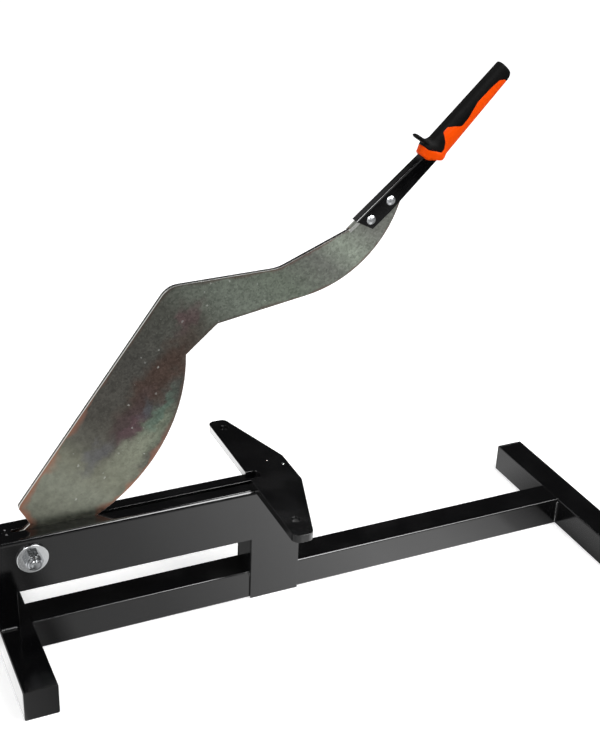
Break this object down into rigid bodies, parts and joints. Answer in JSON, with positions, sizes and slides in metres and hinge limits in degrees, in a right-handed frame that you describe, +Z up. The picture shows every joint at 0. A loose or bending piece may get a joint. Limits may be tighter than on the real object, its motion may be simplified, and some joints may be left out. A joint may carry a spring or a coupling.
{
  "type": "fibre cement cutter",
  "caption": "Bench shear for fibre cement boards: a long hand lever with a curved blade pivots in a slotted beam on an H-shaped tube base, with a fence plate across the beam.",
  "frame": {"origin": "on the floor, under the middle of the base, in the plane of the blade", "axes": "+X along the beam from the pivot towards the right foot, +Y away from the operator, +Z up"},
  "size_m": [0.824, 0.284, 0.6608],
  "materials": {
    "black_paint": "gloss black powder coat",
    "bright_zinc": "bright zinc plating",
    "colour_zinc": "colour-passivated zinc plating",
    "bronze": "plain turned bronze",
    "nylon": "moulded nylon",
    "orange_plastic": "satin moulded plastic",
    "black_rubber": "matt soft-touch elastomer"
  },
  "bodies": {
    "frame": {"base_rail": "black_paint", "left_foot": "black_paint", "right_foot": "black_paint", "foot_end_caps": "black_paint", "front_side_plate": "black_paint", "back_side_plate": "black_paint", "left_post": "black_paint", "right_post": "black_paint", "beam_end_plate": "black_paint", "fence_plate": "black_paint", "weld_beads": "black_paint", "pivot_bolt": "bright_zinc", "head_washer": "bright_zinc", "nut_washer": "bright_zinc", "pivot_nut": "bright_zinc", "nut_insert": "nylon", "front_spacer": "bright_zinc", "back_spacer": "bright_zinc", "front_thrust_washer": "bronze", "back_thrust_washer": "bronze"},
    "lever": {"pivot_bush": "bronze", "blade": "colour_zinc", "handle_arm": "black_paint", "arm_rivets": "bright_zinc", "grip_core": "orange_plastic", "grip_cover": "black_rubber"}
  },
  "joints": [
    {"name": "blade_pivot", "type": "hinge", "parent": "frame", "child": "lever", "pos_m": [-0.368, 0, 0.134], "axis": [0, 1, 0], "range_deg": [-35, 41]}
  ]
}
